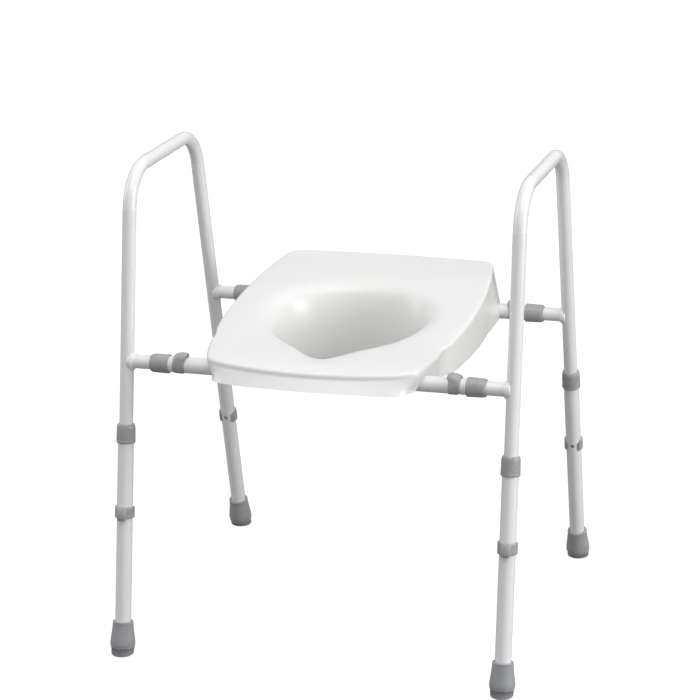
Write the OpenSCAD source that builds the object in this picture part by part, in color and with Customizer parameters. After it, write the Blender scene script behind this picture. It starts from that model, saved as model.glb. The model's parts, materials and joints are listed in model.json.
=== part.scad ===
// Free-standing raised toilet seat: two steel side frames with arm rails, four telescopic
// legs, two telescopic cross tubes, snap-pin locks and a moulded seat that hooks over the
// cross tubes. +Z is up, the front faces -Y, and the origin is on the floor under the middle.

/* [Side frames] */
// Distance from the middle to each side frame's tube axis
frame_half = 272.5; // [265:0.5:330]
// Distance from the middle to a foot along Y, front and back alike
foot_reach = 256.4; // [240:0.1:270]
// Y of the arm rail's front corner, before rounding
rail_front_y = -149.3; // [-160:0.1:-140]
// Y of the arm rail's rear corner, before rounding
rail_rear_y = 103.5; // [95:0.1:115]
// Height of the arm rail's axis
rail_z = 668.2; // [640:0.1:700]
// Bend radius of the arm rail's corners, at the axis
bend_r = 62; // [45:1:75]

/* [Tubes] */
// Outer diameter of the sliding inner tubes
inner_od = 19.05; // [18.9:0.01:19.1]
// Wall of the inner tubes
inner_wall = 1.2; // [0.8:0.1:2]
// Outer diameter of the outer tubes
outer_od = 22.2; // [22:0.1:24]
// Wall of the outer tubes
outer_wall = 1.5; // [1:0.1:1.5]

/* [Cross tubes] */
// Height of both cross tubes' axes
cross_z = 410; // [395:1:420]
// Half length of each outer cross tube
cross_half = 234; // [225:1:236]
// Where each welded stub ends inside the outer cross tube, from the middle
stub_end = 122; // [100:1:125]
// Distance from the middle to each width lock's pin
cross_lock_x = 194; // [192:1:196]
// Distance between the width holes
width_pitch = 12.5; // [12.5]

/* [Legs] */
// Distance along the leg from the floor to the outer tube's top
sleeve_top = 325; // [310:1:330]
// Distance along the leg from the floor to the inner tube's end
inner_end = 62; // [55:1:65]
// Distance along the leg from the floor to the height lock's pin
leg_lock_s = 203; // [198:1:208]
// Distance between the height holes
height_pitch = 25; // [25]
// Height of a rubber foot along the leg
foot_h = 47; // [40:1:55]

/* [Locks] */
// Lock pin diameter
pin_d = 6; // [5:0.1:6]
// Height of a lock clip's band
clip_h = 16; // [14:1:18]
// Wall of a lock clip's band
clip_wall = 2.6; // [2:0.1:3]
// How far a lock clip's finger wedge stands out from the tube's axis
wedge_reach = 17.6; // [16:0.1:19]
// Half angle of the clip's mouth
mouth_half = 43; // [35:1:50]

/* [Seat] */
// Half width of the seat at its widest
seat_w = 177; // [170:1:180]
// Y of the seat's front edge at the middle
seat_front = -259; // [-262:1:-250]
// Y of the seat's rear edge at the middle
seat_rear = 199; // [190:1:205]
// Height of the seat's sloping top over the origin
seat_z = 456; // [450:1:462]
// Rise of the seat's top for each millimetre towards the rear
seat_slope = 0.105; // [0.06:0.005:0.12]
// Height of the seat skirt's lower edge
skirt_z = 401; // [398:1:406]
// Half width of the aperture's rim
aperture_w = 118; // [105:1:120]
// Height of the splash guard's lower edge
guard_z = 356; // [352:1:390]
// Wall of the seat moulding
seat_wall = 4; // [3:0.5:5]

/* [Hidden] */
$fn = 96;
eps = 0.01;
SIDES = [-1, 1]; // left and right
ENDS = [-1, 1]; // front and rear

inner_r = inner_od / 2;
outer_r = outer_od / 2;
fit_r = outer_r - outer_wall; // bore that an inner tube slides in
hole_d = pin_d + 0.4;
pin_gap = 0.02;
thinned = 0.2; // how much bending takes off a tube's radius
neck = 3; // length of the taper into a bend

// tilt of a leg from upright, and the length of its axis up to the rail's corner
function rail_y(end) = end < 0 ? rail_front_y : rail_rear_y;
function tilt(end) = atan2(foot_reach - end * rail_y(end), rail_z);
function leg_len(end) = norm([foot_reach - end * rail_y(end), rail_z]);
function turn(end) = 90 - tilt(end);
function tangent(end) = bend_r * tan(turn(end) / 2);
function cross_y(end) = end * (foot_reach - cross_z * tan(tilt(end)));

tube_white = "#f1f1ee";
seat_white = "#f7f6f3";
clip_grey = "#8f9092";
foot_grey = "#7d7e80";
steel = "#b9bcc0";

// ---------- frames of reference ----------

// local +Z runs up a leg's axis from the floor, local -Y faces away from the seat
module at_leg(side, end) {
    translate([side * frame_half, end * foot_reach, 0])
        rotate([end * tilt(end), 0, 0])
            rotate([0, 0, end < 0 ? 0 : 180])
                children();
}

// local +Z runs outwards along a cross tube from the middle, local -Y faces up
module at_cross(side, end) {
    translate([0, cross_y(end), cross_z])
        rotate([0, side * 90, 0])
            rotate([0, 0, -side * 90])
                children();
}

module ring(r_out, r_in, h) {
    difference() {
        cylinder(r = r_out, h = h);
        translate([0, 0, -1]) cylinder(r = r_in, h = h + 2);
    }
}

// a pin's hole through both walls of a tube
module pin_hole(z) {
    translate([0, 0, z]) rotate([90, 0, 0]) cylinder(d = hole_d, h = 60, center = true);
}

// ---------- side frames ----------

// straight rod along +Z from a to b, whose necked ends taper into a bend that is a little thinner
module straight_rod(r, a, b, necks) {
    rotate_extrude()
        polygon(concat(
            necks == 2
                ? [[0, a - neck], [r - 2 * thinned, a - neck], [r, a]]
                : [[0, a], [r, a]],
            [[r, b], [r - 2 * thinned, b + neck], [0, b + neck]]));
}

// The bent rod that a side frame's tube follows, with radius r and ends longer by extra
module frame_rod(side, r, extra) {
    for (end = ENDS)
        at_leg(side, end) straight_rod(r, inner_end - extra, leg_len(end) - tangent(end), 1);
    translate([side * frame_half, 0, 0]) rotate([90, 0, 90]) {
        for (end = ENDS)
            translate([rail_y(end) - end * tangent(end), rail_z - bend_r, 0])
                rotate([0, 0, end < 0 ? 90 : 90 - turn(end)])
                    rotate_extrude(angle = turn(end))
                        translate([bend_r, 0]) circle(r = r - thinned);
        translate([0, rail_z, 0]) rotate([0, 90, 0])
            straight_rod(r, rail_front_y + tangent(-1), rail_rear_y - tangent(1), 2);
    }
}

// height holes: one pitch above the lock's place and five below it
module side_frame(side) {
    color(tube_white)
        difference() {
            frame_rod(side, inner_r, 0);
            frame_rod(side, inner_r - inner_wall, 1);
            for (end = ENDS)
                at_leg(side, end)
                    for (k = [-5:1]) pin_hole(leg_lock_s + k * height_pitch);
        }
}

// short tube welded to a leg, with the weld's fillet around its root
module stub(side, end) {
    weld_h = 4.5;
    weld_w = 2.6;
    root = frame_half - inner_r;
    color(tube_white)
        difference() {
            at_cross(side, end)
                rotate_extrude()
                    polygon([
                        [0, stub_end], [inner_r, stub_end], [inner_r, root - weld_h],
                        [inner_r + weld_w / 3, root - weld_h / 3], [inner_r + weld_w, root + 1],
                        [inner_r + weld_w, root + 4], [0, root + 4]
                    ]);
            at_cross(side, end)
                translate([0, 0, stub_end - 1])
                    cylinder(r = inner_r - inner_wall, h = root - stub_end);
            at_leg(side, end) cylinder(r = inner_r, h = 600);
            at_cross(side, end)
                for (k = [-5:1]) pin_hole(cross_lock_x + k * width_pitch);
        }
}

// ---------- cross tubes ----------

module cross_tube(end) {
    color(tube_white)
        at_cross(1, end)
            difference() {
                translate([0, 0, -cross_half]) ring(outer_r, fit_r, 2 * cross_half);
                for (side = SIDES) pin_hole(side * cross_lock_x);
            }
}

// plastic collar over an outer tube's end: local z is 0 at that end, which it covers
module collar() {
    r_low = 13.4;
    r_top = 12.6;
    len = 27;
    lip = 2.6;
    color(clip_grey)
        rotate_extrude()
            polygon([
                [outer_r, lip - len], [r_low - 0.8, lip - len], [r_low, lip - len + 1.2],
                [r_top + 0.3, -2], [r_top - 0.5, lip - 1.4], [r_top - 1.6, lip - 0.3],
                [r_top - 2.2, lip], [inner_r + 0.15, lip], [inner_r + 0.15, 0], [outer_r, 0]
            ]);
}

module cross_collar(side, end) {
    at_cross(side, end) translate([0, 0, cross_half]) collar();
}

// ---------- locks ----------

// pin with a head that is moulded into the clip: it points along local +Y
module pin_shape(gap) {
    rotate([90, 0, 0]) {
        translate([0, 0, -outer_r + 0.4]) cylinder(r = pin_d / 2 + gap, h = 15 + outer_r);
        translate([0, 0, 13.4]) cylinder(r = pin_d / 2 + 1 + gap, h = 2.2);
    }
}

module lock_pin() {
    color(steel)
        difference() {
            pin_shape(0);
            // chamfered tip
            rotate([-90, 0, 0]) translate([0, 0, outer_r - 1.2])
                difference() {
                    cylinder(r = 5, h = 2);
                    translate([0, 0, -eps]) cylinder(r1 = pin_d / 2 + 0.1, r2 = pin_d / 2 - 1, h = 1.1);
                }
        }
}

// C-shaped band with a finger wedge opposite its mouth
module lock_clip() {
    r_in = outer_r + 0.06;
    r_out = r_in + clip_wall;
    half = clip_h / 2;
    wedge_w = 13;
    color(clip_grey)
        difference() {
            union() {
                translate([0, 0, -half]) cylinder(r = r_out, h = clip_h);
                // wedge, deepest at its lower edge
                translate([wedge_w / 2, 0, 0]) rotate([90, 0, -90])
                    linear_extrude(height = wedge_w)
                        polygon([
                            [0, half], [r_out - 0.6, half], [wedge_reach - 1.2, half - 5],
                            [wedge_reach, -half + 5], [wedge_reach, -half + 2.4],
                            [wedge_reach - 1.4, -half + 0.4], [0, -half]
                        ]);
            }
            translate([0, 0, -half - 1]) cylinder(r = r_in, h = clip_h + 2);
            // mouth
            linear_extrude(height = clip_h + 2, center = true)
                polygon([
                    [0, 0], [30 * sin(mouth_half), 30 * cos(mouth_half)],
                    [0, 45], [-30 * sin(mouth_half), 30 * cos(mouth_half)]
                ]);
            // finger scoop under the wedge
            translate([0, -wedge_reach + 0.6, -half - 1.6]) rotate([0, 90, 0])
                cylinder(r = 3.4, h = wedge_w - 3.6, center = true);
            pin_shape(pin_gap);
        }
}

module leg_clip(side, end) { at_leg(side, end) translate([0, 0, leg_lock_s]) lock_clip(); }
module leg_pin(side, end) { at_leg(side, end) translate([0, 0, leg_lock_s]) lock_pin(); }
module cross_clip(side, end) { at_cross(side, end) translate([0, 0, cross_lock_x]) lock_clip(); }
module cross_pin(side, end) { at_cross(side, end) translate([0, 0, cross_lock_x]) lock_pin(); }

// ---------- telescopic legs ----------

foot_floor = 9; // the washer lies this far up the leg, and the tube stands on it
washer_h = 1.6;

module leg_sleeve(side, end) {
    low = foot_floor + washer_h;
    color(tube_white)
        at_leg(side, end)
            difference() {
                translate([0, 0, low]) ring(outer_r, fit_r, sleeve_top - low);
                pin_hole(leg_lock_s);
            }
}

module leg_collar(side, end) {
    at_leg(side, end) translate([0, 0, sleeve_top]) collar();
}

module foot(side, end) {
    color(foot_grey)
        difference() {
            at_leg(side, end)
                rotate_extrude()
                    polygon([
                        [0, -6], [15.4, -6], [16.2, 9], [16.9, 10.6], [16.5, 11.2], [17.5, 12.6],
                        [17.6, 16], [17.1, 21], [15.3, 33], [14.3, foot_h - 3], [14.1, foot_h - 1],
                        [13.3, foot_h], [outer_r + 0.9, foot_h], [outer_r + 0.02, foot_h - 1.6],
                        [outer_r + 0.02, foot_floor], [0, foot_floor]
                    ]);
            // the sole is level with the floor
            translate([side * frame_half - 40, end * foot_reach - 40, -30]) cube([80, 80, 30]);
        }
}

module foot_washer(side, end) {
    color(steel)
        at_leg(side, end) translate([0, 0, foot_floor]) ring(outer_r - 0.1, 4, washer_h);
}

// ---------- seat ----------

side_n = 22; // steps along a straight stretch of the outline
corner_n = 7; // steps around a corner
barrel = 3.1e-6; // how fast the sides curve in towards both ends
front_bow = 20; // how far the front edge's middle stands out past its corners
rear_bow = 5;
front_lean = 10; // how far the front face leans back on its way up
crease_y = -217;
ridge_drop = 7; // the skirt ends this far below the top, where the rounded ridge starts
aperture_y = -22; // the aperture's widest place
aperture_rear = 100;
aperture_front = 136;
scoop = 29; // the rim's extra reach at the middle of the front

function arc_pts(c, r, from) =
    [for (i = [0:corner_n - 1]) c + r * [cos(from + 90 * i / corner_n), sin(from + 90 * i / corner_n)]];
function line_pts(p, q) = [for (i = [0:side_n - 1]) p + (q - p) * i / side_n];
// rounded rectangle with half width w, from y = f to y = b, anticlockwise from its front right
function slab_pts(w, f, b, rf, rb) = concat(
    line_pts([w, f + rf], [w, b - rb]), arc_pts([w - rb, b - rb], rb, 0),
    line_pts([w - rb, b], [-w + rb, b]), arc_pts([-w + rb, b - rb], rb, 90),
    line_pts([-w, b - rb], [-w, f + rf]), arc_pts([-w + rf, f + rf], rf, 180),
    line_pts([-w + rf, f], [w - rf, f]), arc_pts([w - rf, f + rf], rf, 270));
// waist in each side behind the front cross tube, where the skirt folds in
function waist(y) = exp(-pow((y + 137) / 15, 2));
function ramp(t) = let (u = max(0, min(1, t))) u * u * (3 - 2 * u);
// how far the skirt's lower edge goes in at the front corners and out at the rear ones
function spread(y) = 9 * ramp((y - 60) / 110) - 9 * ramp((-165 - y) / 35);
// bends the rounded rectangle's edges to the seat's outline, pulled in by fold at the waist
function bowed(p, w, f, b, fold, flare, lean) =
    let (u = p[0] / w, y = p[1])
    [p[0] * (1 - barrel * y * y)
         + (flare * spread(y) - fold * waist(y)) * sign(p[0]) * pow(abs(u), 6),
     y + (y < 0 ? (front_bow * u * u + lean) * pow(y / f, 6) : -rear_bow * u * u * pow(y / b, 6))];
function outline(inset, rf, rb, fold = 0, flare = 0, lean = 0) =
    let (w = seat_w - inset, f = seat_front + inset, b = seat_rear - inset)
    [for (p = slab_pts(w, f, b, rf, rb)) bowed(p, w, f, b, fold, flare, lean)];

// the top slopes up to the rear, a little more steeply in front of a straight crease
function top_z(y) = seat_z + seat_slope * y + min(0, y - crease_y) * 0.06;
function skirt_low(p) = skirt_z + (7 - 4 * pow(p[0] / 150, 2)) * min(1, max(0, -150 - p[1]) / 80);

// aperture's radius in direction a, with its front scoop fading as share goes to 0
function egg(a, share) =
    1 / norm([cos(a) / aperture_w, sin(a) / (sin(a) > 0 ? aperture_rear : aperture_front)])
    + scoop * share * exp(-pow((abs(a + 90) > 180 ? 360 - abs(a + 90) : abs(a + 90)) / 14, 2));
function aperture(i, base, grow, share) =
    let (p = base[i], a = atan2(p[1] - aperture_y, p[0]), r = egg(a, share) + grow)
    [r * cos(a), aperture_y + r * sin(a)];

base_line = outline(0, 34, 22);
count = len(base_line);

// rings of the moulding's skin: skirt, top, dished rim, splash guard, and back underneath
function skirt_ring(inset, rf, rb, share, fold, flare) = // share 0 is the lower edge, 1 the top
    [for (p = outline(inset, rf, rb, fold, flare, share * front_lean))
        [p[0], p[1], skirt_low(p) + share * (top_z(p[1]) - ridge_drop - skirt_low(p))]];
function top_ring(inset, rf, rb, drop, fold = 0, front = -300) = // no point is in front of front
    [for (p = outline(inset, rf, rb, fold, 0, front_lean))
        [p[0], max(front, p[1]), top_z(max(front, p[1])) - drop]];
function rim_ring(grow, drop, share) =
    [for (i = [0:count - 1])
        let (q = aperture(i, base_line, grow, share)) [q[0], q[1], top_z(q[1]) - drop]];
// the guard reaches less deep at the front
function guard_ring(grow) =
    [for (i = [0:count - 1])
        let (q = aperture(i, base_line, grow, 0)) [q[0], q[1], guard_z + 16 * ramp(-q[1] / 130)]];

seat_rings = [
    skirt_ring(0, 20, 22, 0, 11, 1), skirt_ring(0, 26, 22, 0.25, 10, 1),
    skirt_ring(0.4, 34, 22, 0.6, 8, 0.5), skirt_ring(1, 33, 22, 1, 5, 0),
    top_ring(2.2, 32, 21, 3, 3), top_ring(4.6, 31, 20, 0.8, 2), top_ring(9, 28, 17, 0),
    top_ring(13, 27, 16, 0, 0, crease_y),
    rim_ring(22, 0.4, 1), rim_ring(9, 1.8, 1), rim_ring(1, 4.6, 1), rim_ring(-5, 9.5, 0.75),
    rim_ring(-9, 17, 0.45), rim_ring(-13, 29, 0.12), rim_ring(-16, 44, 0), guard_ring(-22),
    guard_ring(-22 + seat_wall), rim_ring(-16 + seat_wall, 44, 0),
    rim_ring(-13 + seat_wall, 30, 0.12), rim_ring(-8 + seat_wall, 18, 0.5),
    rim_ring(-1 + seat_wall, 9.4, 0.9), rim_ring(12, 6.4, 1), top_ring(18, 26, 14, seat_wall + 0.4),
    top_ring(seat_wall + 5, 28, 16, seat_wall + 3, 1),
    skirt_ring(seat_wall + 1, 30, 18, 0.9, 5, 0), skirt_ring(seat_wall + 0.4, 28, 18, 0.55, 8, 0.5),
    skirt_ring(seat_wall, 18, 18, 0, 11, 1)
];

// closed skin through a loop of rings that all have the same number of points
module loop_skin(rings) {
    n = len(rings[0]);
    m = len(rings);
    polyhedron(
        points = [for (r = rings) each r],
        faces = [for (j = [0:m - 1]) for (i = [0:n - 1]) each
            let (a = j * n + i, b = j * n + (i + 1) % n,
                 c = ((j + 1) % m) * n + i, d = ((j + 1) % m) * n + (i + 1) % n)
            [[a, d, b], [a, c, d]]],
        convexity = 8);
}

// rib under the top that hooks over a cross tube
module saddle(side, end) {
    w = 22;
    d = 34;
    low = cross_z - 9;
    translate([side * 122 - w / 2, cross_y(end) - d / 2, low])
        cube([w, d, top_z(cross_y(end) - d / 2) - seat_wall - 0.4 + 1 - low]);
}

module seat() {
    slot_r = outer_r + 0.3;
    color(seat_white)
        difference() {
            union() {
                loop_skin(seat_rings);
                for (side = SIDES, end = ENDS) saddle(side, end);
            }
            for (end = ENDS) {
                translate([0, cross_y(end), cross_z]) rotate([0, 90, 0])
                    cylinder(r = slot_r, h = 420, center = true);
                translate([-210, cross_y(end) - slot_r, cross_z - 40]) cube([420, 2 * slot_r, 40]);
            }
        }
}

// ---------- nodes ----------

side_frame(-1);  // left_side_frame
side_frame(1);  // right_side_frame
stub(-1, -1);  // front_left_stub
stub(1, -1);  // front_right_stub
stub(-1, 1);  // rear_left_stub
stub(1, 1);  // rear_right_stub
cross_tube(-1);  // front_cross_tube
cross_tube(1);  // rear_cross_tube
cross_collar(-1, -1);  // front_left_cross_collar
cross_collar(1, -1);  // front_right_cross_collar
cross_collar(-1, 1);  // rear_left_cross_collar
cross_collar(1, 1);  // rear_right_cross_collar
cross_clip(-1, -1);  // front_left_cross_clip
cross_clip(1, -1);  // front_right_cross_clip
cross_clip(-1, 1);  // rear_left_cross_clip
cross_clip(1, 1);  // rear_right_cross_clip
cross_pin(-1, -1);  // front_left_cross_pin
cross_pin(1, -1);  // front_right_cross_pin
cross_pin(-1, 1);  // rear_left_cross_pin
cross_pin(1, 1);  // rear_right_cross_pin
leg_sleeve(-1, -1);  // front_left_leg_sleeve
leg_sleeve(1, -1);  // front_right_leg_sleeve
leg_sleeve(-1, 1);  // rear_left_leg_sleeve
leg_sleeve(1, 1);  // rear_right_leg_sleeve
leg_collar(-1, -1);  // front_left_leg_collar
leg_collar(1, -1);  // front_right_leg_collar
leg_collar(-1, 1);  // rear_left_leg_collar
leg_collar(1, 1);  // rear_right_leg_collar
leg_clip(-1, -1);  // front_left_leg_clip
leg_clip(1, -1);  // front_right_leg_clip
leg_clip(-1, 1);  // rear_left_leg_clip
leg_clip(1, 1);  // rear_right_leg_clip
leg_pin(-1, -1);  // front_left_leg_pin
leg_pin(1, -1);  // front_right_leg_pin
leg_pin(-1, 1);  // rear_left_leg_pin
leg_pin(1, 1);  // rear_right_leg_pin
foot(-1, -1);  // front_left_foot
foot(1, -1);  // front_right_foot
foot(-1, 1);  // rear_left_foot
foot(1, 1);  // rear_right_foot
foot_washer(-1, -1);  // front_left_foot_washer
foot_washer(1, -1);  // front_right_foot_washer
foot_washer(-1, 1);  // rear_left_foot_washer
foot_washer(1, 1);  // rear_right_foot_washer
seat();
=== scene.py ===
"""Looks of a free-standing raised toilet seat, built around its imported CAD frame."""

import json
import math

import bmesh
import bpy
import numpy as np
from mathutils import Matrix, Vector

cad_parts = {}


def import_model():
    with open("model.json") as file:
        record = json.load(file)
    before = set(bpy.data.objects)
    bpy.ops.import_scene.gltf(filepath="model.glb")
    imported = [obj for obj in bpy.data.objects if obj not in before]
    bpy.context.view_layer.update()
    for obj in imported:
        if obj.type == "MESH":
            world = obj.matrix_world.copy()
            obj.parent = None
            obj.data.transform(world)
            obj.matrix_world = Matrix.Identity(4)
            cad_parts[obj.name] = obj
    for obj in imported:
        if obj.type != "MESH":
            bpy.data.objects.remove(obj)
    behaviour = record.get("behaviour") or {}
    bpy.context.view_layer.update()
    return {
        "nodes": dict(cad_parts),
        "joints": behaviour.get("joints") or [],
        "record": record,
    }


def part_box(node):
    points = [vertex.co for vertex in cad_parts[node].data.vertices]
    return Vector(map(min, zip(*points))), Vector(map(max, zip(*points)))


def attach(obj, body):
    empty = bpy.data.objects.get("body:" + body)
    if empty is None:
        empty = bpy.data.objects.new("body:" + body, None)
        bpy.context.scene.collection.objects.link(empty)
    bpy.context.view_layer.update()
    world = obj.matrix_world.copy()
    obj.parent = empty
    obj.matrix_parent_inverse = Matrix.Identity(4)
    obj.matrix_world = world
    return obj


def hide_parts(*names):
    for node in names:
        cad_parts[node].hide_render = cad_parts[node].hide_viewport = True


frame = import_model()

MM = 0.001
ENDS = {"front": -1, "rear": 1}
SIDES = {"left": -1, "right": 1}
CORNERS = [(end, side) for end in ENDS for side in SIDES]

# ---------- sizes, from the frame where it has them (metres) ----------

OUTER_R = 11.1 * MM
SLEEVE_TOP = 325 * MM
LEG_LOCK_UP = 203 * MM
CROSS_LOCK_X = 194 * MM
CROSS_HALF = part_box("front_cross_tube")[1].x
CROSS_Z = sum(v.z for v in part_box("front_cross_tube")) / 2
CROSS_Y = {end: sum(v.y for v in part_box(f"{end}_cross_tube")) / 2 for end in ENDS}
FRAME_X = sum(v.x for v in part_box("right_side_frame")) / 2
SOLES = {m["name"]: Vector(m["pos_m"]) for m in frame["record"]["mounts"]}
DOWN = {j["child"]: Vector(j["axis"]) for j in frame["joints"] if j["name"].endswith("height_slide")}


def leg_axes(end, side):
    """Rotation of a leg: local +Z runs up it from the floor, and local -Y faces away from the seat."""
    up = -DOWN[f"{end}_{side}_leg"]
    out = Vector((0, ENDS[end], 0))
    out = (out - up * out.dot(up)).normalized()
    x = (-out).cross(up)
    return Matrix((x, -out, up)).transposed()


def at_leg(end, side, along=0.0):
    """Place on a leg, along metres up from its sole."""
    place = Matrix.Translation(SOLES[f"{end}_{side}_sole"]) @ leg_axes(end, side).to_4x4()
    return place @ Matrix.Translation((0, 0, along))


def at_cross(end, side, along=0.0):
    """Local +Z runs outwards along the cross tube, and local -Y faces up."""
    out = Vector((SIDES[side], 0, 0))
    up = Vector((0, 0, 1))
    turn = Matrix(((-up).cross(out), -up, out)).transposed().to_4x4()
    return Matrix.Translation((0, CROSS_Y[end], CROSS_Z)) @ turn @ Matrix.Translation((0, 0, along))


# ---------- materials ----------


def node_tree(name):
    material = bpy.data.materials.new(name)
    material.use_nodes = True
    tree = material.node_tree
    return material, tree, tree.nodes["Principled BSDF"]


def object_noise(tree, scale, detail=3.0, roughness=0.5, stretch=None):
    """Noise in the piece's own coordinates. stretch gives its scale along X, Y and Z."""
    coord = tree.nodes.new("ShaderNodeTexCoord")
    noise = tree.nodes.new("ShaderNodeTexNoise")
    noise.inputs["Scale"].default_value = scale
    noise.inputs["Detail"].default_value = detail
    noise.inputs["Roughness"].default_value = roughness
    source = coord.outputs["Object"]
    if stretch:
        mapping = tree.nodes.new("ShaderNodeMapping")
        mapping.inputs["Scale"].default_value = stretch
        tree.links.new(source, mapping.inputs["Vector"])
        source = mapping.outputs["Vector"]
    tree.links.new(source, noise.inputs["Vector"])
    return noise.outputs["Fac"]


def ramp(tree, fac, low, high, stops=(0.3, 0.7)):
    """Maps fac between two colours, or between two numbers given as greys."""
    node = tree.nodes.new("ShaderNodeValToRGB")
    for element, stop, colour in zip(node.color_ramp.elements, stops, (low, high)):
        element.position = stop
        element.color = (*colour, 1) if hasattr(colour, "__len__") else (colour, colour, colour, 1)
    tree.links.new(fac, node.inputs["Fac"])
    return node.outputs["Color"]


def bump(tree, bsdf, layers):
    """Adds bump layers, each a (height, strength, distance in metres)."""
    normal = None
    for height, strength, distance in layers:
        node = tree.nodes.new("ShaderNodeBump")
        node.inputs["Strength"].default_value = strength
        node.inputs["Distance"].default_value = distance
        tree.links.new(height, node.inputs["Height"])
        if normal:
            tree.links.new(normal, node.inputs["Normal"])
        normal = node.outputs["Normal"]
    tree.links.new(normal, bsdf.inputs["Normal"])


def powder_coat():
    """White gloss powder coat: fine orange peel, a slow drift in tone and duller patches."""
    material, tree, bsdf = node_tree("white_powder_coat")
    tone = ramp(tree, object_noise(tree, 9.0), (0.90, 0.90, 0.892), (0.925, 0.925, 0.918))
    tree.links.new(tone, bsdf.inputs["Base Color"])
    rough = ramp(tree, object_noise(tree, 45.0, 4.0), 0.20, 0.27)
    tree.links.new(rough, bsdf.inputs["Roughness"])
    bsdf.inputs["Specular IOR Level"].default_value = 0.5
    bsdf.inputs["Coat Weight"].default_value = 0.35
    bsdf.inputs["Coat Roughness"].default_value = 0.12
    peel = object_noise(tree, 650.0, 2.0)
    wave = object_noise(tree, 120.0, 1.0)
    bump(tree, bsdf, [(wave, 0.03, 0.0005), (peel, 0.10, 0.00015)])
    return material


def seat_moulding():
    """Satin-gloss white polypropylene, with faint flow marks and fine scuffs."""
    material, tree, bsdf = node_tree("white_moulded_seat")
    tone = ramp(tree, object_noise(tree, 5.0, 2.0), (0.845, 0.845, 0.83), (0.885, 0.885, 0.875))
    tree.links.new(tone, bsdf.inputs["Base Color"])
    rough = ramp(tree, object_noise(tree, 22.0, 5.0, 0.6), 0.27, 0.40)
    tree.links.new(rough, bsdf.inputs["Roughness"])
    bsdf.inputs["Coat Weight"].default_value = 0.2
    bsdf.inputs["Coat Roughness"].default_value = 0.2
    flow = object_noise(tree, 14.0, 2.0, 0.5, (1, 2.5, 1))
    scuff = object_noise(tree, 380.0, 3.0, 0.6, (1, 0.25, 1))
    bump(tree, bsdf, [(flow, 0.06, 0.002), (scuff, 0.07, 0.0002)])
    return material


def grained_plastic(name, dark, light, rough, grain):
    """Grey moulded plastic with a spark-eroded grain: rough is a range, grain the finer noise's scale."""
    material, tree, bsdf = node_tree(name)
    tone = ramp(tree, object_noise(tree, 60.0, 4.0), dark, light)
    tree.links.new(tone, bsdf.inputs["Base Color"])
    tree.links.new(ramp(tree, object_noise(tree, 180.0, 3.0), *rough), bsdf.inputs["Roughness"])
    coarse = object_noise(tree, 240.0, 2.0)
    bump(tree, bsdf, [(coarse, 0.12, 0.0003), (object_noise(tree, grain, 2.0), 0.25, 0.00012)])
    return material


def steel():
    """Zinc-plated pin: drawn along its length, with a dull bloom."""
    material, tree, bsdf = node_tree("plated_steel")
    tone = ramp(tree, object_noise(tree, 300.0, 4.0), (0.50, 0.51, 0.52), (0.68, 0.69, 0.70))
    tree.links.new(tone, bsdf.inputs["Base Color"])
    bsdf.inputs["Metallic"].default_value = 1.0
    streaks = object_noise(tree, 500.0, 3.0, 0.6, (1, 0.08, 1))
    tree.links.new(ramp(tree, streaks, 0.22, 0.42), bsdf.inputs["Roughness"])
    bump(tree, bsdf, [(streaks, 0.15, 0.0001)])
    return material


PAINT = powder_coat()
SEAT = seat_moulding()
GREY = grained_plastic("grey_moulded_clip", (0.37, 0.372, 0.373), (0.425, 0.427, 0.428),
                       (0.22, 0.32), 1500.0)
RUBBER = grained_plastic("grey_rubber_foot", (0.335, 0.34, 0.35), (0.39, 0.395, 0.405),
                         (0.45, 0.60), 1100.0)
STEEL = steel()

# ---------- mesh helpers ----------

AROUND = 72  # points around a turned piece


def make_piece(name, points, faces, material, body, level=0):
    """A smooth-shaded piece on a body, subdivided level times."""
    mesh = bpy.data.meshes.new(name)
    mesh.from_pydata([tuple(p) for p in points], [], faces)
    bm = bmesh.new()
    bm.from_mesh(mesh)
    bmesh.ops.recalc_face_normals(bm, faces=bm.faces)
    bm.to_mesh(mesh)
    bm.free()
    mesh.polygons.foreach_set("use_smooth", [True] * len(mesh.polygons))
    mesh.materials.append(material)
    piece = bpy.data.objects.new(name, mesh)
    bpy.context.scene.collection.objects.link(piece)
    if level:
        smooth = piece.modifiers.new("round", "SUBSURF")
        smooth.levels = smooth.render_levels = level
    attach(piece, body)
    return piece


def grid_faces(rows, columns, close_rows, close_columns):
    """Quads over a grid of points kept row by row."""
    faces = []
    for i in range(rows if close_rows else rows - 1):
        for j in range(columns if close_columns else columns - 1):
            a, b = i * columns + j, i * columns + (j + 1) % columns
            c, d = ((i + 1) % rows) * columns + (j + 1) % columns, ((i + 1) % rows) * columns + j
            faces.append((a, b, c, d))
    return faces


def circle(r, z=0.0):
    """Points of a circle about local Z."""
    angles = [2 * math.pi * k / AROUND for k in range(AROUND)]
    return [Vector((r * math.cos(a), r * math.sin(a), z)) for a in angles]


def in_metres(corners):
    return [tuple(v * MM for v in corner) for corner in corners]


def rounded(corners, default=0.4 * MM, steps=3):
    """Rounds a closed profile's corners. Each corner is (r, z) or (r, z, radius)."""
    out = []
    for i, corner in enumerate(corners):
        p = Vector(corner[:2])
        before = Vector(corners[i - 1][:2]) - p
        after = Vector(corners[(i + 1) % len(corners)][:2]) - p
        cut = min(corner[2] if len(corner) > 2 else default, before.length * 0.45, after.length * 0.45)
        a, b = p + before.normalized() * cut, p + after.normalized() * cut
        for k in range(steps + 1):
            t = k / steps
            out.append(a * (1 - t) ** 2 + p * 2 * t * (1 - t) + b * t * t)
    return out


def smoothstep(t):
    t = np.clip(t, 0.0, 1.0)
    return t * t * (3 - 2 * t)


# ---------- collars, feet, welds ----------


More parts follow.
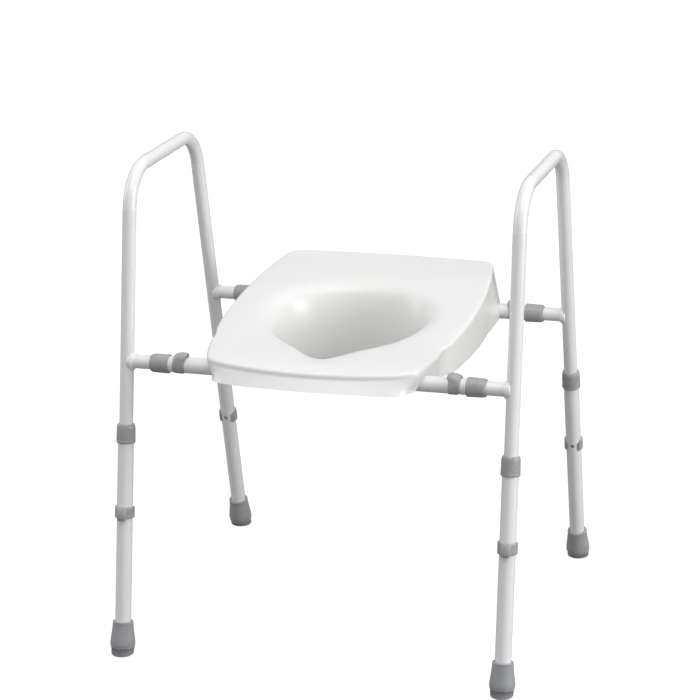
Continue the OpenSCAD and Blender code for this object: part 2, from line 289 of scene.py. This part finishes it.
# corners of the collar's section in mm: r, height over the tube's end, radius of the corner
COLLAR = [
    (OUTER_R / MM, -24.4), (12.5, -24.4, 0.8), (13.45, -23.4, 0.9), (13.35, -20.6, 0.3),
    (13.1, -20.3, 0.2), (13.1, -19.7, 0.2), (13.3, -19.4, 0.2), (12.9, -2.2, 0.7), (12.1, 1.0, 0.7),
    (11.0, 2.2, 0.5), (10.4, 2.6, 0.3), (9.7, 2.6, 0.1), (9.7, 0.0, 0.1), (OUTER_R / MM, 0.0, 0.1),
]


def collar(name, place, body, node):
    """Tapered collar over an outer tube's end: a thin lip, a fine groove and a bead at its skirt."""
    profile = rounded(in_metres(COLLAR))
    points = [place @ p for r, z in profile for p in circle(r, z)]
    piece = make_piece(name, points, grid_faces(len(profile), AROUND, True, True), GREY, body)
    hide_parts(node)


FOOT_TOP, SOLE_TOP = 47.0, 9.02
# corners of the ferrule's section in mm, from its rolled rim over its top to the floor inside it
FERRULE = [
    (16.7, 9.2, 1.2), (17.0, 10.6, 0.4), (16.75, 11.4, 0.3), (17.4, 12.5, 0.7), (17.6, 16, 2),
    (17.1, 21, 2), (15.4, 33, 3), (14.4, 43.4, 1), (14.7, 44.4, 0.5), (14.5, FOOT_TOP - 0.6, 0.7),
    (13.3, FOOT_TOP, 0.6), (12.0, FOOT_TOP, 0.4), (11.12, FOOT_TOP - 1.8, 0.4), (11.12, SOLE_TOP, 0.2),
]
# the ringed tread and the sole's edge, as (r, height over the floor) in mm, from the middle outwards
TREAD = [
    (0.4, 2.4), (3.8, 2.2), (4.6, 0.0), (6.8, 0.0), (7.3, 1.4), (8.7, 1.4), (9.2, 0.0), (11.0, 0.0),
    (11.5, 1.4), (12.9, 1.4), (13.4, 0.0), (14.9, 0.0), (15.5, 0.5), (15.8, 1.6),
]


def foot(end, side):
    """Ferrule with a rolled rim above its sole, and a ringed tread that lies flat on the floor."""
    name = f"{end}_{side}_foot"
    place = at_leg(end, side)
    axis = place.to_3x3().col[2]
    profile = rounded(in_metres(FERRULE)) + [(0.4 * MM, SOLE_TOP * MM)]
    points = [place @ p for r, z in profile for p in circle(r, z)]
    for r, height in TREAD:
        for p in circle(r * MM):
            flat = place @ p
            points.append(flat + axis * ((height * MM - flat.z) / axis.z))
    rows = len(profile) + len(TREAD)
    piece = make_piece(name + "_rubber", points, grid_faces(rows, AROUND, True, True), RUBBER,
                       f"{end}_{side}_leg")
    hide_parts(name)


WELD_R, WELD_RIPPLES, WELD_STEPS, WELD_AROUND = 1.75 * MM, 34, 144, 12
STUB_REACH = 10.35 * MM  # from the stub's axis to the middle of the bead
LEG_REACH, LEG_REACH_MIN = 9.9 * MM, 4.6 * MM  # the same from the leg's axis, and where it levels off


def weld(end, side):
    """Painted fillet bead around a stub's root, with the ripple of a weld run."""
    turn = leg_axes(end, side)
    along, up = turn.col[1], turn.col[2]
    out = Vector((SIDES[side], 0, 0))
    centre = Vector((SIDES[side] * FRAME_X, CROSS_Y[end], CROSS_Z))
    path = []
    for k in range(WELD_STEPS):
        angle = 2 * math.pi * k / WELD_STEPS
        y, z = STUB_REACH * math.cos(angle), STUB_REACH * math.sin(angle)
        x = math.sqrt(max(LEG_REACH ** 2 - y * y, LEG_REACH_MIN ** 2))
        path.append(centre - out * x + along * y + up * z)
    points = []
    for k, p in enumerate(path):
        ahead = (path[(k + 1) % WELD_STEPS] - path[k - 1]).normalized()
        across = (p - centre).cross(ahead).normalized()
        lift = ahead.cross(across)
        angle = 2 * math.pi * k / WELD_STEPS
        ripple = 0.05 * math.sin(WELD_RIPPLES * angle) + 0.05 * math.sin(5 * angle + ENDS[end])
        r = WELD_R * (1 + ripple)
        for j in range(WELD_AROUND):
            a = 2 * math.pi * j / WELD_AROUND
            points.append(p + across * r * math.cos(a) + lift * r * math.sin(a))
    make_piece(f"{end}_{side}_weld", points, grid_faces(WELD_STEPS, WELD_AROUND, True, True), PAINT,
               f"{side}_frame")


# ---------- snap clips ----------

CLIP_STEPS, CLIP_HALF, CLIP_MIDDLE = 132, 8.0, 12.4  # steps, then mm
MOUTH = 43  # half the gap between the jaws, in degrees
JAW_FADE, JAW_THIN, JAW_SHORT = 9, 0.25, 0.06  # the last degrees of a jaw, and what its tip loses
PANEL, PANEL_Z, PANEL_DEPTH = (70, 104), 5.1, 0.4  # the sunk flat on each side: degrees, then mm
SHOULDER, SHOULDER_DROP = (112, 22), 3.0  # where the upper edge falls: degrees and over how many, mm
LEG_TAB, CROSS_TAB = (16, 20), (24, 44)  # degrees each way at full depth, and degrees of fade

# the band's section and the finger tab's, point for point, as (r, z) in mm from the lower inside corner
BAND = [
    (11.5, -8.0), (12.3, -8.0), (13.0, -7.95), (13.45, -7.75), (13.7, -7.35), (13.76, -6.6),
    (13.76, -5.4), (13.76, -4.8), (13.76, -2.0), (13.76, 1.5), (13.76, 4.8), (13.76, 5.4), (13.72, 6.8),
    (13.5, 7.6), (13.0, 7.95), (11.5, 8.0), (11.16, 7.6), (11.16, -7.6),
]
WEDGE = [
    (11.5, -8.0), (12.6, -7.9), (13.4, -8.3), (14.0, -9.3), (14.3, -10.3), (15.0, -10.7), (15.9, -10.2),
    (16.8, -8.6), (17.35, -6.4), (17.55, -4.0), (17.4, -1.4), (16.9, 1.4), (16.1, 4.0), (15.0, 6.2),
    (13.6, 7.6), (11.5, 8.0), (11.16, 7.6), (11.16, -7.6),
]


def ease(turn, start, width):
    """0 up to start degrees and 1 from start + width degrees, for a turn in radians."""
    return smoothstep((turn - math.radians(start)) / math.radians(width))


def clip(name, place, body, node, tab, fade_out):
    """C-shaped snap clip with thin jaws and a finger tab, which keeps its full depth for tab degrees
    each way and fades out over the next fade_out degrees."""
    span = math.pi - math.radians(MOUTH)
    points = []
    for k in range(CLIP_STEPS + 1):
        turn = span * (2 * k / CLIP_STEPS - 1)
        wedge = 1 - ease(abs(turn), tab, fade_out)
        panel = ease(abs(turn), PANEL[0], 4) * (1 - ease(abs(turn), PANEL[1], 4))
        end = 1 - (span - abs(turn)) / math.radians(JAW_FADE)
        thin = math.sqrt(max(0.0, 1 - end * end)) if end > 0 else 1.0
        low = SHOULDER_DROP * ease(abs(turn), *SHOULDER)
        for (rb, zb), (rw, zw) in zip(BAND, WEDGE):
            r = rb + (rw - rb) * wedge
            z = zb + (zw - zb) * wedge
            if abs(z) < PANEL_Z and r > 13:
                r -= PANEL_DEPTH * panel
            r = CLIP_MIDDLE + (r - CLIP_MIDDLE) * (JAW_THIN + (1 - JAW_THIN) * thin)
            z = z * (1 - JAW_SHORT * (1 - thin)) - (low if z > 0 else 0) * (z / CLIP_HALF)
            points.append(place @ Vector((r * math.sin(turn) * MM, -r * math.cos(turn) * MM, z * MM)))
    n = len(BAND)
    faces = grid_faces(CLIP_STEPS + 1, n, False, True)
    faces += [tuple(range(n)), tuple(range(CLIP_STEPS * n, (CLIP_STEPS + 1) * n))]
    piece = make_piece(name, points, faces, GREY, body)
    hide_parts(node)


# ---------- seat ----------

# in mm, but for the slopes and for BARREL: at y, the plan loses BARREL * y * y of its width
SEAT_W, SEAT_FRONT, SEAT_REAR = 177.0, -259.0, 199.0
SEAT_Z, SEAT_SLOPE, SKIRT_Z = 456.0, 0.105, 401.0
BARREL, FRONT_BOW, REAR_BOW = 3.1e-6, 20.0, 5.0
HOLE_Y, HOLE_W, HOLE_REAR, HOLE_FRONT = -22.0, 118.0, 100.0, 136.0
SCOOP, SCOOP_HALF = 29.0, 14  # depth, and half its width in degrees
GUARD_Z, WALL = 356.0, 4.0
RIDGE_DROP, FRONT_LEAN = 7.0, 13.0
CREASE_Y, CREASE_SLOPE, BEAD = -217.0, 0.02, 0.45
SLOT_R = OUTER_R / MM + 0.3
TUBE_Z = CROSS_Z / MM
TUBE_Y = [y / MM for y in CROSS_Y.values()]


def top_z(y):
    """Height of the top: it slopes up to the rear, and a little more steeply ahead of its crease."""
    return SEAT_Z + SEAT_SLOPE * y + min(0.0, y - CREASE_Y) * CREASE_SLOPE


def skirt_low(x, y):
    """Height of the skirt's lower edge, which arches up along the front."""
    return SKIRT_Z + (7 - 4 * (x / 150) ** 2) * min(1, max(0, -150 - y) / 80)


def waist(y):
    """How much of the fold a side has at y: most at its waist, which is behind the front cross tube."""
    return math.exp(-((y + 137) / 15) ** 2)


def spread(y):
    """Flare of the sides at y, in mm: out at the rear corners and in at the front ones."""
    return 9 * smoothstep((y - 60) / 110) - 9 * smoothstep((-165 - y) / 35)


def lerp_table(table, t):
    """Values of a table of (t, values...) rows at t."""
    keys = [row[0] for row in table]
    return [float(np.interp(t, keys, [row[i] for row in table])) for i in range(1, len(table[0]))]


# share of the skirt's height, then inset, front and rear corner radius, waist's fold, share of spread
SKIRT = [
    (0.0, 0.0, 20, 22, 11, 1.0), (0.25, 0.0, 26, 22, 10, 1.0),
    (0.6, 0.4, 34, 22, 8, 0.5), (1.0, 1.0, 33, 22, 5, 0.0),
]


def side_ys():
    """Y of the columns along a straight side, with pairs of them at each cross tube's slot."""
    ys = set(np.linspace(-224, 176, 68).round(2))
    for ty in TUBE_Y:
        ys = {y for y in ys if abs(abs(y - ty) - SLOT_R) > 1.6}
        ys |= {round(ty + s * (SLOT_R + d), 3) for s in (-1, 1) for d in (-0.25, 0.25, 1.4, -1.2)}
    return sorted(ys)


SIDE_YS = side_ys()
ACROSS = [v * (1 - 0.25 * v * v) / 0.75 for v in np.linspace(-1, 1, 44)]  # closer at the corners
CORNER_STEPS = 10
FREE_FRONT, FREE_REAR = -190, 140  # between these the side columns never move
FRONT_ROOM, REAR_ROOM = 34.4, 36.5  # what the columns beyond them need


def squeezed(y, low, high):
    """A side column's y, drawn in where the corner arcs leave the straight side less room."""
    if y > FREE_REAR:
        return FREE_REAR + (y - FREE_REAR) * min(1, (high - FREE_REAR) / REAR_ROOM)
    if y < FREE_FRONT:
        return FREE_FRONT + (y - FREE_FRONT) * min(1, (FREE_FRONT - low) / FRONT_ROOM)
    return y


def plan(inset, rf, rb):
    """The rounded rectangle, anticlockwise from its front right, before it is bowed."""
    w, f, b = SEAT_W - inset, SEAT_FRONT + inset, SEAT_REAR - inset

    def arc(cx, cy, r, start):
        turns = [math.radians(start + 90 * (i + 0.5) / CORNER_STEPS) for i in range(CORNER_STEPS)]
        return [(cx + r * math.cos(t), cy + r * math.sin(t)) for t in turns]

    ys = [squeezed(y, f + rf, b - rb) for y in SIDE_YS]
    return ([(w, y) for y in ys] + arc(w - rb, b - rb, rb, 0)
            + [(-v * (w - rb), b) for v in ACROSS] + arc(-w + rb, b - rb, rb, 90)
            + [(-w, y) for y in reversed(ys)] + arc(-w + rf, f + rf, rf, 180)
            + [(v * (w - rf), f) for v in ACROSS] + arc(w - rf, f + rf, rf, 270))


def bowed(p, inset, fold, flare, lean=0.0):
    """A plan point moved to its barrelled, folded and flared side, or to its bowed front or rear."""
    w, f, b = SEAT_W - inset, SEAT_FRONT + inset, SEAT_REAR - inset
    u, y = p[0] / w, p[1]
    x = p[0] * (1 - BARREL * y * y)
    x += (flare * spread(y) - fold * waist(y)) * math.copysign(abs(u) ** 6, p[0])
    edge = (FRONT_BOW * u * u + lean) * (y / f) ** 6 if y < 0 else -REAR_BOW * u * u * (y / b) ** 6
    return x, y + edge


def slot_top(y):
    """Height up to which the skirt is cut away for a cross tube."""
    for ty in TUBE_Y:
        if abs(y - ty) < SLOT_R:
            return TUBE_Z + math.sqrt(SLOT_R ** 2 - (y - ty) ** 2)
    return 0.0


def skirt_ring(share, extra=0.0):
    """Ring of the skirt at a share of its height, extra mm inside its outer face. A column over a
    slot starts at the slot's top, so it takes its plan from the height it really has."""
    inset, rf, rb, fold, flare = lerp_table(SKIRT, share)
    ring = []
    for p in plan(inset + extra, rf - extra, rb - extra):
        x, y = bowed(p, inset + extra, fold, flare, FRONT_LEAN * share)
        low, high = skirt_low(x, y), top_z(y) - RIDGE_DROP
        if abs(p[0]) > SEAT_W - inset - extra - 0.01:
            low = max(low, slot_top(y))
        z = low + share * (high - low)
        true_share = (z - skirt_low(x, y)) / (high - skirt_low(x, y))
        x, y = bowed(p, inset + extra, *lerp_table(SKIRT, true_share)[3:], FRONT_LEAN * true_share)
        ring.append(Vector((x, y, z)))
    return ring


def top_ring(inset, rf, rb, drop, fold=0.0, front=-300.0, bead=0.0):
    """Ring of the top, drop mm under its plane. Points in front of a straight line are moved back
    to it, where they stand up by bead mm."""
    ring = []
    for p in plan(inset, rf, rb):
        x, y = bowed(p, inset, fold, 0, FRONT_LEAN)
        held = max(front, y)
        ring.append(Vector((x, held, top_z(held) - drop + bead * (y < front))))
    return ring


# the aperture's rings have a point in the direction of each of these
BASE = [bowed(p, 0, 0, 0) for p in plan(0, 34, 22)]


def hole_radius(a, share):
    """The aperture's radius in direction a, with the front scoop fading as share goes to 0."""
    depth = HOLE_REAR if math.sin(a) > 0 else HOLE_FRONT
    off = abs((math.degrees(a) + 90 + 180) % 360 - 180)
    oval = 1 / math.hypot(math.cos(a) / HOLE_W, math.sin(a) / depth)
    return oval + SCOOP * share * math.exp(-(off / SCOOP_HALF) ** 2)


def hole_xy(grow, share):
    """The aperture's outline, grown by grow mm."""
    out = []
    for x, y in BASE:
        a = math.atan2(y - HOLE_Y, x)
        r = hole_radius(a, share) + grow
        out.append((r * math.cos(a), HOLE_Y + r * math.sin(a)))
    return out


def rim_ring(grow, drop, share):
    """Ring around the aperture, drop mm under the top's plane."""
    return [Vector((x, y, top_z(y) - drop)) for x, y in hole_xy(grow, share)]


def guard_ring(grow, lift=0.0):
    """Ring around the splash guard, lift mm over its lower edge, which rises towards the front."""
    return [Vector((x, y, GUARD_Z + lift + 16 * smoothstep(-y / 130))) for x, y in hole_xy(grow, 0)]


def between(outer, inner, shares, drop):
    """Rings between two others, drop mm under the top's plane and dished a little towards the inner."""
    out = []
    for t in shares:
        ring = []
        for a, b in zip(outer, inner):
            x, y = a.x + (b.x - a.x) * t, a.y + (b.y - a.y) * t
            ring.append(Vector((x, y, top_z(y) - drop - 0.5 * t * t)))
        out.append(ring)
    return out


# heights on the skirt's outer face, from its lower edge up, and on its inner face, from the top down
SKIRT_OUT = (0.0, 0.02, 0.08, 0.18, 0.3, 0.45, 0.6, 0.75, 0.9, 1.0)
SKIRT_IN = (0.88, 0.7, 0.5, 0.3, 0.12, 0.02)
# the turn from the skirt into the top: inset, front and rear corner radius, drop, fold
RIDGE = [
    (1.2, 32.5, 21.6, 4.2, 4), (1.7, 32, 21, 2.4, 3.4), (2.8, 31, 20, 1.0, 2.8), (4.6, 30, 19, 0.25, 2),
    (7.5, 28, 17, 0, 0), (11, 27, 16, 0, 0),
]
# the turn from the top into the aperture: grow, drop, share of the scoop
RIM = [
    (22, 0.5, 1), (15, 0.9, 1), (9, 1.9, 1), (4.5, 3.3, 1), (1, 5.0, 0.95), (-2.5, 7.4, 0.85),
    (-5.5, 10.6, 0.7), (-8, 15, 0.5), (-10.5, 21.5, 0.27), (-13, 30, 0.1), (-15, 40, 0), (-17, 52, 0),
]
# the same for the underside, WALL mm further out, from the splash guard up
UNDER_RIM = [
    (-17, 52, 0), (-15, 41, 0), (-13, 31.5, 0.1), (-9.5, 21.5, 0.35), (-5, 14.2, 0.7), (1, 9, 0.9),
]
# the splash guard's lower edge: grow, lift
GUARD = [
    (-21.0, 8), (-22, 0.8), (-22 + WALL * 0.3, 0), (-22 + WALL * 0.7, 0), (-22 + WALL, 0.8),
    (-21 + WALL, 8),
]


def seat_rings():
    """All rings of the shell in order: up the outside, over the top, down the aperture, and back up
    inside it, under the top and down the inside of the skirt."""
    crease = [top_ring(16 + d, 26, 15, 0, 0, CREASE_Y + d, BEAD * (d == 0)) for d in (-2, 0, 2)]
    rim = [rim_ring(*row) for row in RIM]
    under_lip, under_ridge = rim_ring(12, 6.4, 1), top_ring(18, 26, 14, WALL + 0.4)
    rings = [skirt_ring(share) for share in SKIRT_OUT]
    rings += [top_ring(*row) for row in RIDGE] + crease
    rings += between(crease[-1], rim[0], (0.2, 0.4, 0.6, 0.8), 0) + rim
    rings += [guard_ring(*row) for row in GUARD]
    rings += [rim_ring(grow + WALL, drop, share) for grow, drop, share in UNDER_RIM]
    rings += [under_lip] + between(under_lip, under_ridge, (0.25, 0.5, 0.75), WALL + 1.6)
    rings += [under_ridge, top_ring(WALL + 9, 28, 16, WALL + 1.6)]
    rings += [top_ring(WALL + 5, 28, 16, WALL + 4.5, 1)]
    rings += [skirt_ring(share, WALL) for share in SKIRT_IN]
    rings += [skirt_ring(0.0, WALL - 0.3)]
    return rings


def seat():
    rings = seat_rings()
    points = [p * MM for ring in rings for p in ring]
    faces = grid_faces(len(rings), len(rings[0]), True, True)
    piece = make_piece("seat_shell", points, faces, SEAT, "seat_moulding", 1)
    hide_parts("seat")


# the saddles in mm: place along the tube, half width, reach under the tube's axis, cut at the mouth
SADDLE_X, SADDLE_HALF, SADDLE_DOWN, SADDLE_CUT = 122, 17.0, 9, 1.2
RIBS = [(-11, -7.8), (-1.6, 1.6), (7.8, 11)]


def saddle(end, side):
    """Three ribs under the seat that hook over a cross tube."""
    cy = CROSS_Y[end] / MM
    low, high = TUBE_Z - SADDLE_DOWN, top_z(cy - SADDLE_HALF) - WALL - 2.2
    mouth = cy - SLOT_R, cy + SLOT_R
    arch = [(cy + SLOT_R * math.cos(a), TUBE_Z + SLOT_R * math.sin(a))
            for a in np.linspace(math.pi, 0, 17)]
    outline = ([(cy - SADDLE_HALF, low), (mouth[0] - SADDLE_CUT, low), (mouth[0], low + SADDLE_CUT)]
               + arch
               + [(mouth[1], low + SADDLE_CUT), (mouth[1] + SADDLE_CUT, low), (cy + SADDLE_HALF, low)]
               + [(cy + SADDLE_HALF, high), (cy - SADDLE_HALF, high)])
    n = len(outline)
    points, faces = [], []
    for rib in RIBS:
        first = len(points)
        points += [Vector((SIDES[side] * SADDLE_X + x, y, z)) * MM for x in rib for y, z in outline]
        near, far = range(first, first + n), range(first + n, first + 2 * n)
        faces += [(near[j], near[(j + 1) % n], far[(j + 1) % n], far[j]) for j in range(n)]
        faces += [tuple(near), tuple(far)]
    piece = make_piece(f"{end}_{side}_saddle", points, faces, SEAT, "seat_moulding")
    edge = piece.modifiers.new("edge", "BEVEL")
    edge.width, edge.segments, edge.limit_method = 0.5 * MM, 2, "ANGLE"


# ---------- stage, lights and camera ----------

FLOOR_HALF, FLOOR_GLOW, WORLD_POWER = 14.0, 0.86, 1.25
# the photo's camera, fitted to the frame: metres, degrees, and mm on a 36 mm sensor
CAMERA_PLACE = (0.9580, -3.1981, 1.4367)
CAMERA_TURN, CAMERA_TILT, CAMERA_ROLL = 16.83, 17.45, -0.98
CAMERA_LENS = 126.73


def softbox(name, size, location, target, power):
    light = bpy.data.lights.new(name, "AREA")
    light.shape = "RECTANGLE"
    light.size, light.size_y = size
    light.energy = power
    lamp = bpy.data.objects.new(name, light)
    lamp.location = location
    lamp.rotation_euler = (Vector(target) - Vector(location)).to_track_quat("-Z", "Y").to_euler()
    bpy.context.scene.collection.objects.link(lamp)


def floor():
    """Grey floor for what lights and mirrors in the object. The camera sees it with a glow added,
    nearly as white as what is behind."""
    material, tree, bsdf = node_tree("pale_floor")
    tone = ramp(tree, object_noise(tree, 3.0), (0.20, 0.20, 0.20), (0.22, 0.22, 0.22))
    tree.links.new(tone, bsdf.inputs["Base Color"])
    bsdf.inputs["Roughness"].default_value = 0.7
    bsdf.inputs["Emission Color"].default_value = (1, 1, 1, 1)
    path = tree.nodes.new("ShaderNodeLightPath")
    glow = tree.nodes.new("ShaderNodeMath")
    glow.operation = "MULTIPLY"
    glow.inputs[1].default_value = FLOOR_GLOW
    tree.links.new(path.outputs["Is Camera Ray"], glow.inputs[0])
    tree.links.new(glow.outputs["Value"], bsdf.inputs["Emission Strength"])
    mesh = bpy.data.meshes.new("floor")
    corners = [(x * FLOOR_HALF, y * FLOOR_HALF, 0) for x, y in ((-1, -1), (1, -1), (1, 1), (-1, 1))]
    mesh.from_pydata(corners, [], [(0, 1, 2, 3)])
    mesh.materials.append(material)
    plane = bpy.data.objects.new("floor", mesh)
    bpy.context.scene.collection.objects.link(plane)


def world():
    """White behind the object, and a darker studio for what lights and mirrors in it."""
    scene_world = bpy.data.worlds.new("studio")
    bpy.context.scene.world = scene_world
    scene_world.use_nodes = True
    tree = scene_world.node_tree
    back = tree.nodes["Background"]
    seen = tree.nodes.new("ShaderNodeBackground")
    seen.inputs["Color"].default_value = (1, 1, 1, 1)
    seen.inputs["Strength"].default_value = 1.0
    coord = tree.nodes.new("ShaderNodeTexCoord")
    split = tree.nodes.new("ShaderNodeSeparateXYZ")
    tree.links.new(coord.outputs["Generated"], split.inputs["Vector"])
    sky = ramp(tree, split.outputs["Z"], (0.24, 0.235, 0.23), (0.66, 0.66, 0.67), (0.05, 0.8))
    tree.links.new(sky, back.inputs["Color"])
    back.inputs["Strength"].default_value = WORLD_POWER
    path = tree.nodes.new("ShaderNodeLightPath")
    mix = tree.nodes.new("ShaderNodeMixShader")
    tree.links.new(path.outputs["Is Camera Ray"], mix.inputs["Fac"])
    tree.links.new(back.outputs["Background"], mix.inputs[1])
    tree.links.new(seen.outputs["Background"], mix.inputs[2])
    tree.links.new(mix.outputs["Shader"], tree.nodes["World Output"].inputs["Surface"])


def camera():
    """The camera the photo was taken with, as far as it could be fitted."""
    turn, tilt, roll = (math.radians(v) for v in (CAMERA_TURN, CAMERA_TILT, CAMERA_ROLL))
    back = Vector((math.sin(turn) * math.cos(tilt), -math.cos(turn) * math.cos(tilt), math.sin(tilt)))
    level = (-back).cross(Vector((0, 0, 1))).normalized()
    upright = level.cross(-back)
    right = level * math.cos(roll) + upright * math.sin(roll)
    up = upright * math.cos(roll) - level * math.sin(roll)
    place = Matrix((right, up, back)).transposed().to_4x4()
    place.translation = CAMERA_PLACE
    data = bpy.data.cameras.new("camera")
    data.lens, data.sensor_width = CAMERA_LENS, 36.0
    data.clip_end = 60.0
    holder = bpy.data.objects.new("camera", data)
    holder.matrix_world = place
    bpy.context.scene.collection.objects.link(holder)
    bpy.context.scene.camera = holder


def lights():
    middle = (0, 0, 0.4)
    softbox("right", (1.4, 1.8), (3.1, -0.35, 1.2), middle, 49)
    softbox("top", (1.4, 1.4), (0.1, -0.7, 3.2), middle, 13)
    softbox("strip", (2.6, 0.12), (0.2, -1.5, 2.7), middle, 6)
    softbox("left", (0.8, 1.8), (-3.0, -0.1, 1.6), middle, 14)


# ---------- the object ----------

MATERIALS = {"frame_paint": PAINT, "seat_plastic": SEAT, "grey_plastic": GREY, "foot_rubber": RUBBER,
             "bright_steel": STEEL}
for part in frame["record"]["subparts"]:
    cad = frame["nodes"][part["node"]]
    cad.data.materials.clear()
    cad.data.materials.append(MATERIALS[part["material_slot"]])

for end, side in CORNERS:
    corner = f"{end}_{side}"
    collar(f"{corner}_leg_collar_trim", at_leg(end, side, SLEEVE_TOP), f"{corner}_leg",
           f"{corner}_leg_collar")
    collar(f"{corner}_cross_collar_trim", at_cross(end, side, CROSS_HALF), "cross_frame",
           f"{corner}_cross_collar")
    clip(f"{corner}_leg_snap_clip", at_leg(end, side, LEG_LOCK_UP), f"{corner}_leg_lock",
         f"{corner}_leg_clip", *LEG_TAB)
    clip(f"{corner}_cross_snap_clip", at_cross(end, side, CROSS_LOCK_X), f"{corner}_cross_lock",
         f"{corner}_cross_clip", *CROSS_TAB)
    foot(end, side)
    weld(end, side)
    saddle(end, side)
seat()

floor()
world()
lights()
camera()
bpy.context.scene.view_settings.view_transform = "Standard"
